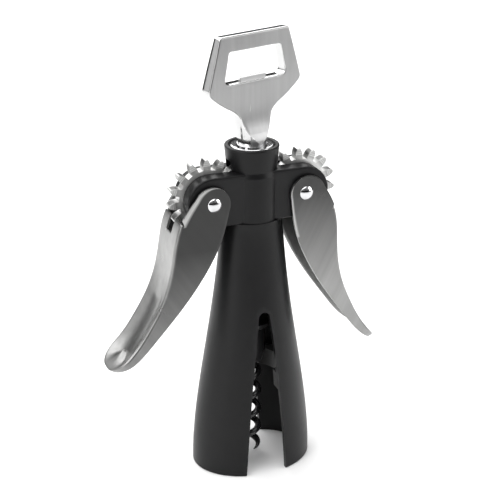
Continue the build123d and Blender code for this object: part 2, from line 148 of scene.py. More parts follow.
def mesh_piece(name: str, points: Grid, faces: Grid) -> bpy.types.Object:
    """A smooth-shaded object from points and faces, doubles merged and normals outwards.

    Args:
        name: the object's name.
        points: corners in millimetres, three numbers each.
        faces: corner numbers of each face.

    Returns:
        The object, linked to the scene at the origin.
    """
    mesh = bpy.data.meshes.new(name)
    mesh.from_pydata((points.reshape(-1, 3) * MM).tolist(), [], faces.tolist())
    work = bmesh.new()
    work.from_mesh(mesh)
    bmesh.ops.remove_doubles(work, verts=work.verts, dist=MERGE * MM)
    bmesh.ops.dissolve_degenerate(work, edges=work.edges, dist=SLIVER * MM)
    bmesh.ops.recalc_face_normals(work, faces=work.faces)
    work.to_mesh(mesh)
    work.free()
    mesh.polygons.foreach_set("use_smooth", np.ones(len(mesh.polygons), bool))
    piece = bpy.data.objects.new(name, mesh)
    bpy.context.scene.collection.objects.link(piece)
    return piece


def face_normals(piece: bpy.types.Object) -> Grid:
    """The unit normal of each face of a piece, one row each."""
    normals = np.empty(len(piece.data.polygons) * 3)
    piece.data.polygons.foreach_get("normal", normals)
    return normals.reshape(-1, 3)


def turned(name: str, profile: Grid, centre: Grid, axis: Grid, steps: int = 96) -> bpy.types.Object:
    """A body of revolution: each profile point goes round the axis at its own radius.

    Args:
        name: the object's name.
        profile: rows of (radius, distance along the axis) in millimetres, end to end.
        centre: the point on the axis that distances are counted from.
        axis: unit vector along the axis, square to X.
        steps: points round the axis.

    Returns:
        The finished object.
    """
    side = np.cross(axis, (1.0, 0.0, 0.0))
    other = np.cross(axis, side)
    angle = np.linspace(0, 2 * pi, steps, endpoint=False)[None, :, None]
    ring = np.cos(angle) * side + np.sin(angle) * other
    radius, along = profile[:, 0][:, None, None], profile[:, 1][:, None, None]
    points = centre + radius * ring + along * axis
    return mesh_piece(name, points, grid_faces(len(profile), steps, False, True))


# ------------------------------------------------------------------ shader groups
class Shade(Enum):
    """The shared effects that materials place as node groups."""

    GRAIN = "fine_grain"
    BRUSH = "brushed_lines"
    WEAR = "wear_and_dust"
    # painted shade: this group darkens the lever cheeks' colour high up, in place of the darker reflection
    # they show
    CHEEK = "cheek_tone"


def add_node(tree: Any, kind: str, values: dict[str | int, Any] | None = None, **settings: Any) -> Any:
    """Adds a node to a shader tree.

    Args:
        tree: the node tree.
        kind: the node's kind, without the words that every shader node's kind starts with.
        values: input values, by the input's name or number.
        settings: the node's own settings, such as its operation.

    Returns:
        The node.
    """
    node = tree.nodes.new(f"ShaderNode{kind}")
    for label, value in settings.items():
        setattr(node, label, value)
    for label, value in (values or {}).items():
        node.inputs[label].default_value = value
    return node


class GroupMaker:
    """Builds each shared effect once and hands it out."""

    def __init__(self) -> None:
        """Starts with no groups built."""
        self.built: dict[Shade, bpy.types.NodeTree] = {}

    def get(self, shade: Shade) -> bpy.types.NodeTree:
        """The node group of an effect, built at its first use."""
        if shade not in self.built:
            makers = {
                Shade.GRAIN: self.grain,
                Shade.BRUSH: self.brush,
                Shade.WEAR: self.wear,
                Shade.CHEEK: self.cheek,
            }
            self.built[shade] = makers[shade]()
        return self.built[shade]

    @staticmethod
    def blank(shade: Shade, inputs: dict[str, float], outputs: Sequence[str]) -> tuple[Any, Any, Any]:
        """An empty group with named number inputs and outputs.

        Args:
            shade: the effect, which names the group.
            inputs: each input's name and its usual value.
            outputs: the outputs' names.

        Returns:
            The tree, its input node and its output node.
        """
        tree = bpy.data.node_groups.new(shade.value, "ShaderNodeTree")
        for label, value in inputs.items():
            socket = tree.interface.new_socket(name=label, in_out="INPUT", socket_type="NodeSocketFloat")
            socket.default_value = value
        for label in outputs:
            tree.interface.new_socket(name=label, in_out="OUTPUT", socket_type="NodeSocketFloat")
        return tree, tree.nodes.new("NodeGroupInput"), tree.nodes.new("NodeGroupOutput")

    def grain(self) -> bpy.types.NodeTree:
        """Fine even grain: two noises of different scale added, as a height and a tone.

        Returns:
            The group.
        """
        tree, source, sink = self.blank(Shade.GRAIN, {"Scale": 900.0, "Coarse": 160.0}, ("Height", "Tone"))
        place = add_node(tree, "TexCoord")
        fine = add_node(tree, "TexNoise", {"Detail": 3.0})
        coarse = add_node(tree, "TexNoise", {"Detail": 4.0})
        for noise, label in ((fine, "Scale"), (coarse, "Coarse")):
            tree.links.new(place.outputs["Object"], noise.inputs["Vector"])
            tree.links.new(source.outputs[label], noise.inputs["Scale"])
        fine_share = 0.6
        both = add_node(tree, "Math", {1: fine_share}, operation="MULTIPLY_ADD")
        tree.links.new(fine.outputs["Fac"], both.inputs[0])
        tree.links.new(coarse.outputs["Fac"], both.inputs[2])
        tree.links.new(both.outputs[0], sink.inputs["Height"])
        tree.links.new(coarse.outputs["Fac"], sink.inputs["Tone"])
        return tree

    def brush(self) -> bpy.types.NodeTree:
        """Brushed lines: a noise stretched many times longer one way than across.

        Returns:
            The group.
        """
        names = {"Turn X": 0.0, "Turn Y": 0.0, "Turn Z": 0.0, "Across": 1500.0, "Along": 40.0}
        tree, source, sink = self.blank(Shade.BRUSH, names, ("Lines", "Streak"))
        place, turn = add_node(tree, "TexCoord"), add_node(tree, "Mapping")
        spin, size = add_node(tree, "CombineXYZ"), add_node(tree, "CombineXYZ")
        for axis, scale in (("X", "Across"), ("Y", "Across"), ("Z", "Along")):
            tree.links.new(source.outputs[f"Turn {axis}"], spin.inputs[axis])
            tree.links.new(source.outputs[scale], size.inputs[axis])
        tree.links.new(place.outputs["Object"], turn.inputs["Vector"])
        tree.links.new(spin.outputs[0], turn.inputs["Rotation"])
        stretch = add_node(tree, "VectorMath", operation="MULTIPLY")
        tree.links.new(turn.outputs[0], stretch.inputs[0])
        tree.links.new(size.outputs[0], stretch.inputs[1])
        for label, scale, detail in (("Lines", 1.0, 2.0), ("Streak", 0.23, 3.0)):
            noise = add_node(tree, "TexNoise", {"Scale": scale, "Detail": detail})
            tree.links.new(stretch.outputs[0], noise.inputs["Vector"])
            tree.links.new(noise.outputs["Fac"], sink.inputs[label])
        return tree

    def cheek(self) -> bpy.types.NodeTree:
        """Painted shade on faces that look along Y: a darker colour that stands in for the darker
        reflection on the lever cheeks, deepest at the high end, fading downwards.

        Returns:
            The group.
        """
        tree, source, sink = self.blank(Shade.CHEEK, {"Low": 0.06, "High": 0.125, "Depth": 0.8}, ("Dark",))
        place, split = add_node(tree, "TexCoord"), add_node(tree, "SeparateXYZ")
        level, across = add_node(tree, "MapRange"), add_node(tree, "SeparateXYZ")
        tree.links.new(place.outputs["Object"], split.inputs[0])
        tree.links.new(place.outputs["Normal"], across.inputs[0])
        tree.links.new(split.outputs["Z"], level.inputs["Value"])
        for label, limit in (("Low", "From Min"), ("High", "From Max"), ("Depth", "To Max")):
            tree.links.new(source.outputs[label], level.inputs[limit])
        falloff = 3.0
        size = add_node(tree, "Math", operation="ABSOLUTE")
        facing = add_node(tree, "Math", {1: falloff}, operation="POWER")
        both = add_node(tree, "Math", operation="MULTIPLY")
        tree.links.new(across.outputs["Y"], size.inputs[0])
        tree.links.new(size.outputs[0], facing.inputs[0])
        tree.links.new(facing.outputs[0], both.inputs[0])
        tree.links.new(level.outputs["Result"], both.inputs[1])
        tree.links.new(both.outputs[0], sink.inputs["Dark"])
        return tree

    def wear(self) -> bpy.types.NodeTree:
        """Worn edges and faint marks: where the surface bends sharply out, and thin scattered smears.

        Returns:
            The group.
        """
        names = {"Edge Start": 0.53, "Edge End": 0.62}
        tree, source, sink = self.blank(Shade.WEAR, names, ("Edge", "Smear"))
        shape, edge = add_node(tree, "NewGeometry"), add_node(tree, "MapRange")
        tree.links.new(shape.outputs["Pointiness"], edge.inputs["Value"])
        tree.links.new(source.outputs["Edge Start"], edge.inputs["From Min"])
        tree.links.new(source.outputs["Edge End"], edge.inputs["From Max"])
        place = add_node(tree, "TexCoord")
        marks = {"Scale": 55.0, "Detail": 6.0, "Roughness": 0.62, "Distortion": 0.6}
        smear = add_node(tree, "TexNoise", marks)
        tree.links.new(place.outputs["Object"], smear.inputs["Vector"])
        tree.links.new(edge.outputs["Result"], sink.inputs["Edge"])
        tree.links.new(smear.outputs["Fac"], sink.inputs["Smear"])
        return tree


GROUPS = GroupMaker()


# ------------------------------------------------------------------ finishes
@dataclass(frozen=True)
class Finish:
    """A surface finish: base colours, gloss, and how strongly its grain, lines and wear show.

    dark and light are the two tones that the streaks or grain run between, and edge_tone
    shows on worn edges. smooth and rough are the roughness where smears are fewest and most.
    cheek holds the low end, the high end and the depth of the painted shade on the lever cheeks,
    a darker colour that stands in for their darker reflection, in metres and as a share, where the
    finish has one. cheek_shade_colour is the colour of that painted shade.
    """

    name: str
    dark: Triple
    light: Triple
    edge_tone: Triple
    metallic: float = 1.0
    smooth: float = 0.25
    rough: float = 0.4
    anisotropic: float = 0.0
    brushed: bool = False
    brush_turn: Triple = (0.0, 0.0, 0.0)
    across: float = 1500.0
    along: float = 40.0
    grain_scale: float = 900.0
    grain_coarse: float = 160.0
    bump: float = 0.05
    bump_depth: float = 0.0001
    edge_amount: float = 0.5
    edge_range: tuple[float, float] = (0.53, 0.62)
    coat: float = 0.0
    coat_roughness: float = 0.15
    specular: float = 0.5
    # painted shade: cheek and the colour below darken the lever cheeks towards their high end, in place of
    # a darker reflection
    cheek: Triple | None = None
    cheek_shade_colour: Triple = (0.03, 0.03, 0.03)
    smear_range: tuple[float, float] = (0.3, 0.7)

    @cache
    def build(self) -> bpy.types.Material:
        """Makes the material once: tones and a bump from the grain, gloss from smears, paler edges.

        Returns:
            The material, ready for a piece's slot.
        """
        material = bpy.data.materials.new(self.name)
        material.use_nodes = True
        tree = material.node_tree
        shader = tree.nodes["Principled BSDF"]
        shader.inputs["Metallic"].default_value = self.metallic
        shader.inputs["Anisotropic"].default_value = self.anisotropic
        shader.inputs["Coat Weight"].default_value = self.coat
        shader.inputs["Coat Roughness"].default_value = self.coat_roughness
        shader.inputs["Specular IOR Level"].default_value = self.specular
        height, tone = self.grain(tree)
        tones = self.mix(tree, tone, self.dark, self.light)
        # painted shade: the cheeks' colour is mixed towards a dark tone, deepest high up, standing in for
        # their darker reflection
        if self.cheek is not None:
            cheek = self.place_group(tree, Shade.CHEEK, dict(zip(("Low", "High", "Depth"), self.cheek)))
            tones = self.mix(tree, cheek.outputs["Dark"], tones, self.cheek_shade_colour)
        edges = dict(zip(("Edge Start", "Edge End"), self.edge_range))
        wear = self.place_group(tree, Shade.WEAR, edges)
        amount = add_node(tree, "Math", {1: self.edge_amount}, operation="MULTIPLY")
        tree.links.new(wear.outputs["Edge"], amount.inputs[0])
        worn = self.mix(tree, amount.outputs[0], tones, self.edge_tone)
        tree.links.new(worn, shader.inputs["Base Color"])
        limits = (*self.smear_range, self.smooth, self.rough)
        gloss = add_node(tree, "MapRange", dict(zip(("From Min", "From Max", "To Min", "To Max"), limits)))
        tree.links.new(wear.outputs["Smear"], gloss.inputs["Value"])
        tree.links.new(gloss.outputs["Result"], shader.inputs["Roughness"])
        bump = add_node(tree, "Bump", {"Strength": self.bump, "Distance": self.bump_depth})
        tree.links.new(height, bump.inputs["Height"])
        tree.links.new(bump.outputs["Normal"], shader.inputs["Normal"])
        return material

    def grain(self, tree: Any) -> tuple[Any, Any]:
        """Places the finish's brushed lines or its grain.

        Args:
            tree: the material's node tree.

        Returns:
            The sockets of the surface's height and of its tone.
        """
        if self.brushed:
            values = {f"Turn {axis}": turn for axis, turn in zip("XYZ", self.brush_turn)}
            values |= {"Across": self.across, "Along": self.along}
            brush = self.place_group(tree, Shade.BRUSH, values)
            return brush.outputs["Lines"], brush.outputs["Streak"]
        values = {"Scale": self.grain_scale, "Coarse": self.grain_coarse}
        grain = self.place_group(tree, Shade.GRAIN, values)
        return grain.outputs["Height"], grain.outputs["Tone"]

    @staticmethod
    def place_group(tree: Any, shade: Shade, values: dict[str, float]) -> Any:
        """Places a shared effect in a tree with its own values.

        Args:
            tree: the material's node tree.
            shade: the effect.
            values: its input values by name.

        Returns:
            The group's node.
        """
        return add_node(tree, "Group", values, node_tree=GROUPS.get(shade))

    @staticmethod
    def mix(tree: Any, share: Any, first: Any, second: Triple) -> Any:
        """Adds a colour mix to a tree and gives its output.

        Args:
            tree: the material's node tree.
            share: socket that says how much of the second colour shows.
            first: the first colour, or the socket that gives it.
            second: the second colour.

        Returns:
            The mixed colour's socket.
        """
        node = add_node(tree, "Mix", {MIX_SECOND: (*second, 1.0)}, data_type="RGBA")
        tree.links.new(share, node.inputs[0])
        if isinstance(first, tuple):
            node.inputs[MIX_FIRST].default_value = (*first, 1.0)
        else:
            tree.links.new(first, node.inputs[MIX_FIRST])
        return node.outputs[MIX_RESULT]


BLACK_PAINT = Finish(
    "body_black", (0.0025, 0.0025, 0.0028), (0.005, 0.005, 0.0054), (0.024, 0.024, 0.025), metallic=0.0,
    smooth=0.34, rough=0.44, grain_scale=1400.0, bump=0.12, edge_amount=0.35, specular=0.22,
)
# the cheek values set the painted shade: how high and how deep the lever cheeks are darkened in place of
# their darker reflection
LEFT_STEEL = Finish(
    "lever_steel_left", (0.22, 0.22, 0.218), (0.34, 0.34, 0.335), (0.75, 0.75, 0.74), smooth=0.26,
    rough=0.36, brushed=True, brush_turn=(0.0, radians(LEFT_REST_ANGLE), 0.0), anisotropic=0.3,
    bump=0.06, cheek=(0.035, 0.105, 0.93),
)
# the right lever's cheek values give its painted shade a shallower, higher reach than the left one's
RIGHT_STEEL = replace(
    LEFT_STEEL, name="lever_steel_right", brush_turn=(0.0, radians(-RIGHT_REST_ANGLE), 0.0),
    cheek=(0.08, 0.125, 0.88),
)
HEAD_NICKEL = Finish(
    "head_nickel", (0.26, 0.26, 0.26), (0.34, 0.34, 0.34), (0.8, 0.8, 0.8), smooth=0.27, rough=0.36,
    brushed=True, across=1800.0, along=60.0, anisotropic=0.2, bump=0.05,
)
HEAD_POLISHED = Finish(
    "head_polished", (0.50, 0.50, 0.50), (0.62, 0.62, 0.62), (0.95, 0.95, 0.95), smooth=0.07,
    rough=0.14, bump=0.02, edge_amount=0.2,
)
CHROME = Finish(
    "polished_chrome", (0.56, 0.56, 0.57), (0.68, 0.68, 0.69), (0.95, 0.95, 0.95), smooth=0.04,
    rough=0.1, bump=0.015, edge_amount=0.2,
)
ZINC = Finish(
    "gear_zinc", (0.05, 0.05, 0.049), (0.16, 0.16, 0.157), (0.8, 0.8, 0.79), metallic=0.85,
    smooth=0.32, rough=0.5, grain_scale=1100.0, grain_coarse=320.0, bump=0.3, edge_amount=0.8,
)
RACK_STEEL = Finish(
    "rack_steel", (0.40, 0.40, 0.41), (0.55, 0.55, 0.56), (0.8, 0.8, 0.8), smooth=0.2, rough=0.34,
    brushed=True, brush_turn=(radians(90), 0.0, 0.0), bump=0.05,
)
WORM_COATING = Finish(
    "worm_black", (0.010, 0.010, 0.011), (0.018, 0.018, 0.019), (0.05, 0.05, 0.05), metallic=0.0,
    smooth=0.2, rough=0.32, grain_scale=2200.0, bump=0.1, coat=0.4, coat_roughness=0.12,
)
FERRULE_BLACK = Finish(
    "ferrule_black", (0.014, 0.014, 0.015), (0.022, 0.022, 0.023), (0.06, 0.06, 0.06), metallic=0.0,
    smooth=0.28, rough=0.4, grain_scale=1700.0, bump=0.1,
)
SEAT_PLASTIC = Finish(
    "seat_plastic", (0.016, 0.016, 0.016), (0.026, 0.026, 0.026), (0.05, 0.05, 0.05), metallic=0.0,
    smooth=0.42, rough=0.58, grain_scale=1300.0, bump=0.25, edge_amount=0.3,
)
NYLON = Finish(
    "bush_nylon", (0.62, 0.61, 0.57), (0.72, 0.71, 0.67), (0.8, 0.79, 0.75), metallic=0.0,
    smooth=0.4, rough=0.55, grain_scale=1500.0, bump=0.1, edge_amount=0.2,
)


def dress(piece: bpy.types.Object, *finishes: bpy.types.Material) -> None:
    """Gives a piece its materials, one per slot."""
    while len(piece.data.materials) < len(finishes):
        piece.data.materials.append(None)
    for index, finish in enumerate(finishes):
        piece.data.materials[index] = finish


# ------------------------------------------------------------------ sub-assemblies
@dataclass
class PlainPieces:
    """The cast body, seat, bushes, washers, gears, rack and ferrule, shown in their own shape."""

    finishes: dict[str, Finish] = field(default_factory=lambda: {
        "body_shell": BLACK_PAINT,
        "bottle_seat": SEAT_PLASTIC,
        "guide_bush": NYLON,
        "left_ear_bushes": NYLON,
        "right_ear_bushes": NYLON,
        "thrust_washer": NYLON,
        "rack_shaft": RACK_STEEL,
        "worm_ferrule": FERRULE_BLACK,
        "ferrule_pin": RACK_STEEL,
        "left_pivot_washers": NYLON,
        "right_pivot_washers": NYLON,
        "left_gear": ZINC,
        "right_gear": ZINC,
    })

    def build(self, frame: dict[str, Any]) -> list[str]:
        """Dresses the nodes whose shape is shown as it is.

        Args:
            frame: the loaded frame.

        Returns:
            The names of the dressed nodes.
        """
        for node, finish in self.finishes.items():
            dress(frame["nodes"][node], finish.build())
        return list(self.finishes)


@dataclass
class Worm:
    """The coated wire screw: a coil, a ground point and a shank on the axis. Millimetres."""

    outer_radius: float = 4.6
    wire_radius: float = 1.4
    pitch: float = 9.1
    tip_height: float = 2.8
    shank_drop: float = 5.5
    shank_length: float = 5.0
    point_turns: float = 0.3
    point_power: float = 0.62
    point_radius: float = 0.04
    around: int = 28
    coil_steps: int = 420
    shank_steps: int = 50

    def path(self, shank_top: float) -> tuple[Grid, Grid]:
        """Points of the wire's middle line and the wire's radius at each.

        The coil is (R cos a, R sin a, z) with z rising by the pitch in each turn, and it ends
        on the XZ plane. The shank is the cubic with the coil's direction at its foot and
        straight up at its head. The wire thins towards the point as a power of the distance.

        Args:
            shank_top: height of the wire's upper end.

        Returns:
            The points and the radii.
        """
        shank_foot = shank_top - self.shank_length
        coil_top = shank_foot - self.shank_drop
        turns = (coil_top - self.tip_height) / self.pitch
        radius = self.outer_radius - self.wire_radius
        below = np.linspace(turns, 0, self.coil_steps)
        angle = -2 * pi * below
        coil = np.stack(
            (radius * np.cos(angle), radius * np.sin(angle), coil_top - self.pitch * below), axis=-1
        )
        ground = np.clip((turns - below) / self.point_turns, 0.0, 1.0) ** self.point_power
        share = np.linspace(0, 1, self.shank_steps)[1:, None]
        foot = np.array((radius, 0.0, coil_top))
        head = np.array((0.0, 0.0, shank_foot))
        reach = np.linalg.norm(head - foot)
        leave = np.array((0.0, radius, self.pitch / (2 * pi)))  # the coil's own direction
        leave *= reach / np.linalg.norm(leave)
        arrive = np.array((0.0, 0.0, reach))
        shank = (
            (2 * share**3 - 3 * share**2 + 1) * foot + (share**3 - 2 * share**2 + share) * leave
            + (3 * share**2 - 2 * share**3) * head + (share**3 - share**2) * arrive
        )
        points = np.concatenate((coil, shank, [[0.0, 0.0, shank_top]]))
        radii = self.wire_radius * np.concatenate((ground, np.ones(self.shank_steps)))
        return points, np.maximum(radii, self.point_radius)

    def build(self) -> bpy.types.Object:
        """Carries a circle along the wire's line, in the plane across it, from the radial way round.

        Returns:
            The worm.
        """
        points, radii = self.path(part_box("worm")[1][2] / MM)
        tangent = np.gradient(points, axis=0)
        tangent /= np.linalg.norm(tangent, axis=1)[:, None]
        radial = np.tile(np.array((1.0, 0.0, 0.0)), (len(points), 1))
        radial[:self.coil_steps] = points[:self.coil_steps] * (1.0, 1.0, 0.0)
        radial -= tangent * np.sum(radial * tangent, axis=1)[:, None]
        radial /= np.linalg.norm(radial, axis=1)[:, None]
        across = np.cross(tangent, radial)
        angle = np.linspace(0, 2 * pi, self.around, endpoint=False)[None, :, None]
        ring = np.cos(angle) * radial[:, None] + np.sin(angle) * across[:, None]
        tube = points[:, None] + radii[:, None, None] * ring
        ends = np.repeat(points[[0, -1]][:, None], self.around, axis=1)
        tube = np.concatenate((ends[:1], tube, ends[1:]))
        piece = mesh_piece("worm_coated", tube, grid_faces(len(tube), self.around, False, True))
        dress(piece, WORM_COATING.build())
        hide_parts("worm")
        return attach(piece, "spindle")


@dataclass
class Flange:
    """The polished disc between the collar and the head. Millimetres."""

    radius: float = 9.03
    thickness: float = 3.0
    top: float = FLANGE_TOP
    bore: float = 2.8
    edge: float = 0.7
    edge_steps: int = 10
    foot_chamfer: float = 0.15
    rim_width: float = 2.2
    around: int = 128

    def build(self) -> bpy.types.Object:
        """Turns the disc's section, with a quarter circle as its upper rim, round the body's axis.

        Returns:
            The disc.
        """
        rim, foot = self.radius - self.edge, self.top - self.thickness
        turn = np.linspace(0, pi / 2, self.edge_steps)
        lift = self.top - self.edge + self.edge * np.sin(turn)
        profile = np.concatenate((
            [[self.bore, foot], [self.radius - self.foot_chamfer, foot]],
            [[self.radius, foot + self.foot_chamfer]],
            np.stack((rim + self.edge * np.cos(turn), lift), axis=-1),
            [[self.radius - self.rim_width, self.top], [self.bore, self.top], [self.bore, foot]],
        ))
        piece = turned("flange_disc", profile, np.zeros(3), np.array((0.0, 0.0, 1.0)), self.around)
        dress(piece, CHROME.build())
        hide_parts("spindle_flange")
        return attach(piece, "spindle")


@dataclass
class OpenerHead:
    """The bottle-opener head: a wedge-shaped plate round a window, on a round neck. Millimetres.

    Heights are counted from the flange's top. A shoulder point is (across, height), half_depth
    and neck_radius list (height, size), and a window corner is (across, height, rounding).
    """

    turn: float = 17.0
    bevel: float = 0.5
    bevel_steps: int = 5
    face_steps: int = 14
    foot: float = FLANGE_TOP
    height: float = 45.8
    top_half: float = 17.2
    side_half: float = 23.4
    side_rise: float = 24.4
    shoulder: tuple[tuple[float, float], ...] = (
        (23.4, 24.4), (21.2, 22.3), (16.1, 18.5), (11.6, 15.9),
        (8.6, 13.4), (6.9, 10.2), (5.4, 6.4), (4.6, 5.0),
    )
    shoulder_start: float = 0.14
    shoulder_steps: int = 54
    shoulder_round: float = 0.15
    side_round: float = 1.6
    top_round: float = 0.9
    outline_spacing: float = 0.45
    window: tuple[tuple[float, float, float], ...] = (
        (15.7, 26.8, 3.2), (12.9, 39.6, 0.9), (-12.9, 39.6, 0.9), (-15.7, 26.8, 3.2),
    )
    window_centre: float = 33.0
    window_spacing: float = 0.05
    half_depth: tuple[tuple[float, float], ...] = (
        (0.0, 6.15), (2.1, 6.05), (3.6, 5.6), (5.6, 4.6), (8.6, 3.6),
        (11.6, 3.0), (15.6, 2.62), (24.4, 2.6), (46.5, 1.9),
    )
    neck_radius: tuple[tuple[float, float], ...] = (
        (0.0, 6.0), (3.0, 6.35), (7.0, 7.1), (11.0, 7.9), (16.0, 9.0),
    )
    neck_height: float = 13.0
    neck_steps: int = 60
    lip_half: float = 6.5
    lip_rise: float = 1.8
    lip_depth: float = 0.7
    lip_root: float = 0.6
    lip_round: float = 0.35
    lip_root_round: float = 0.1
    lip_spacing: float = 0.2
    lip_taper: float = 0.15
    lip_end_size: float = 0.85
    satin_share: float = 0.72
    sharp_angle: float = 32.0
    round_steps: int = 9

    def depth(self, height: Grid) -> Grid:
        """The plate's half thickness at heights, a smooth curve through the listed ones."""
        return smooth_curve([h for h, _ in self.half_depth], [d for _, d in self.half_depth], height)

    def place(self, across: Grid, depth: Grid, height: Grid) -> Grid:
        """Points in the object's frame from head lengths: across the face, out of it, and up."""
        turn = radians(self.turn)
        x = across * cos(turn) + depth * sin(turn)
        y = across * sin(turn) - depth * cos(turn)
        return np.stack(np.broadcast_arrays(x, y, height + self.foot), axis=-1)

    def rounded(self, corners: Sequence[Triple], spacing: float) -> Grid:
        """A closed outline of straight sides with rounded corners, at even spacing.

        Each corner is replaced by the quadratic curve between the points at its own
        distance from it along its two sides.

        Args:
            corners: each corner's place and how far its rounding reaches.
            spacing: distance between points.

        Returns:
            The outline's points in order.
        """
        points = np.array([corner[:2] for corner in corners])
        reach = np.array([corner[2] for corner in corners])[:, None]
        ahead = np.roll(points, -1, axis=0) - points
        behind = np.roll(points, 1, axis=0) - points
        start = points + behind / np.linalg.norm(behind, axis=1)[:, None] * reach
        end = points + ahead / np.linalg.norm(ahead, axis=1)[:, None] * reach
        share = np.linspace(0, 1, self.round_steps)[None, :, None]
        arms = (1 - share) ** 2 * start[:, None] + share**2 * end[:, None]
        loop = (arms + 2 * share * (1 - share) * points[:, None]).reshape(-1, 2)
        closed = np.concatenate((loop, loop[:1]))
        length = np.concatenate(([0.0], np.cumsum(np.linalg.norm(np.diff(closed, axis=0), axis=1))))
        at = np.linspace(0, length[-1], int(length[-1] / spacing), endpoint=False)
        return np.stack((np.interp(at, length, closed[:, 0]), np.interp(at, length, closed[:, 1])), axis=-1)

    def outline(self) -> Grid:
        """The plate's outline: shoulders as smooth curves, a straight top and small round corners."""
        span = np.linspace(0, 1, len(self.shoulder))
        fine = np.linspace(self.shoulder_start, 1, self.shoulder_steps)
        across = smooth_curve(span, [u for u, _ in self.shoulder], fine)
        rise = smooth_curve(span, [h for _, h in self.shoulder], fine)
        right = [(float(u), float(h), self.shoulder_round) for u, h in zip(across[::-1], rise[::-1])]
        right.append((self.side_half, self.side_rise, self.side_round))
        right.append((self.top_half, self.height, self.top_round))
        left = [(-u, h, reach) for u, h, reach in right[::-1]]
        return self.rounded(right + left, self.outline_spacing)

    @staticmethod
    def inwards(loop: Grid) -> Grid:
        """Unit vectors that point into a loop that runs anticlockwise."""
        along = np.roll(loop, -1, axis=0) - np.roll(loop, 1, axis=0)
        along /= np.linalg.norm(along, axis=1)[:, None]
        return np.stack((-along[:, 1], along[:, 0]), axis=-1)

    def plate(self) -> bpy.types.Object:
        """The plate as a ring of sections round its window.

        One parameter runs round the outline. The other runs round the section: over the
        outer bevel, across the front face to the window's bevel, through the window's wall,
        and back across the rear face. A window point lies on the line from the window's
        middle to its outline point.

        Returns:
            The plate.
        """
        outer = self.outline()
        middle = np.array((0.0, self.window_centre))
        hole = self.rounded(self.window, self.window_spacing) - middle
        angle = np.arctan2(hole[:, 1], hole[:, 0])
        order = np.argsort(angle)
        reach = np.linalg.norm(hole, axis=1)[order]
        way = outer - middle
        out_angle = np.arctan2(way[:, 1], way[:, 0])
        radius = np.interp(out_angle, angle[order], reach, period=2 * pi)
        inner = middle + way / np.linalg.norm(way, axis=1)[:, None] * radius[:, None]
        outer_in, inner_out = self.inwards(outer), -self.inwards(inner)
        turn = np.linspace(0, pi / 2, self.bevel_steps)
        loops, drops = [], []
        for step in turn:
            loops.append(outer + outer_in * self.bevel * (1 - np.cos(step)))
            drops.append(self.bevel * (1 - np.sin(step)))
        start, end = loops[-1], inner + inner_out * self.bevel
        for share in np.linspace(0, 1, self.face_steps)[1:-1]:
            loops.append(start + (end - start) * share)
            drops.append(0.0)
        for step in turn[::-1]:
            loops.append(inner + inner_out * self.bevel * (1 - np.cos(step)))
            drops.append(self.bevel * (1 - np.sin(step)))
        flat = np.stack(loops, axis=1)
        depth = self.depth(flat[..., 1]) - np.array(drops)[None, :]
        front = self.place(flat[..., 0], depth, flat[..., 1])
        back = self.place(flat[..., 0], -depth, flat[..., 1])[:, ::-1]
        points = np.concatenate((front, back), axis=1)
        rows, columns = points.shape[:2]
        return mesh_piece("head_plate", points, grid_faces(rows, columns, True, True))

    def neck(self) -> bpy.types.Object:
        """The round neck, cut flat by the two faces.

        At each height the section is a circle whose points are drawn in to the half depth
        of the plate there, less a hair, with one point of each quarter on the crease.

        Returns:
            The neck.
        """
        height = np.linspace(0, self.neck_height, self.neck_steps)
        radius = smooth_curve([h for h, _ in self.neck_radius], [r for _, r in self.neck_radius], height)
        flat = np.minimum(self.depth(height) - HAIR, radius * 0.9999)  # arcsin stays below a right angle
        crease = np.arcsin(flat / radius)[:, None]
        side = np.linspace(0, 1, 17)[None, :] * crease
        face = crease + (pi / 2 - crease) * np.linspace(0, 1, 13)[None, 1:]
        quarter = np.concatenate((side, face), axis=1)
        angle = np.concatenate(
            (quarter, pi - quarter[:, -2::-1], pi + quarter[:, 1:], 2 * pi - quarter[:, -2:0:-1]), axis=1
        )
        across = radius[:, None] * np.cos(angle)
        depth = np.clip(radius[:, None] * np.sin(angle), -flat[:, None], flat[:, None])
        points = self.place(across, depth, height[:, None])
        centre = np.zeros(angle.shape[1])
        foot, head = (self.place(centre, centre, height[end])[None] for end in (0, -1))
        points = np.concatenate((foot, points, head))
        return mesh_piece("head_neck", points, grid_faces(len(points), angle.shape[1], False, True))

    def catch(self) -> bpy.types.Object:
        """The lip in the window: a rounded section carried across the window's lower edge.

        Returns:
            The lip.
        """
        foot = self.window[0][1]
        low = (self.lip_depth, foot - self.lip_root, self.lip_root_round)
        high = (self.lip_depth, foot + self.lip_rise, self.lip_round)
        back = [(-depth, height, reach) for depth, height, reach in (high, low)]
        section = self.rounded((low, high, *back), self.lip_spacing)
        middle = section.mean(axis=0)
        end, near = self.lip_half, self.lip_half - self.lip_taper
        across = np.array((-end, -end, -near, near, end, end))
        size = np.array((0.0, self.lip_end_size, 1.0, 1.0, self.lip_end_size, 0.0))[:, None, None]
        ring = middle + (section - middle)[None] * size
        points = self.place(across[:, None], ring[..., 0], ring[..., 1])
        return mesh_piece("head_catch", points, grid_faces(len(across), len(section), False, True))

    def build(self) -> list[bpy.types.Object]:
        """Makes the head's pieces, satin on the faces that look out of the plate, polished elsewhere.

        Returns:
            The pieces.
        """
        satin, polished = HEAD_NICKEL.build(), HEAD_POLISHED.build()
        facing = np.array((sin(radians(self.turn)), -cos(radians(self.turn)), 0.0))
        pieces = []
        for piece in (self.plate(), self.neck(), self.catch()):
            dress(piece, satin, polished)
            flat = np.abs(face_normals(piece) @ facing) > self.satin_share
            piece.data.polygons.foreach_set("material_index", np.where(flat, 0, 1))
            piece.data.set_sharp_from_angle(angle=radians(self.sharp_angle))
            pieces.append(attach(piece, "spindle"))
        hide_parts("opener_head")
        return pieces


class Side(Enum):
    """The two sides, each with the sign of its X."""

    LEFT = -1
    RIGHT = 1


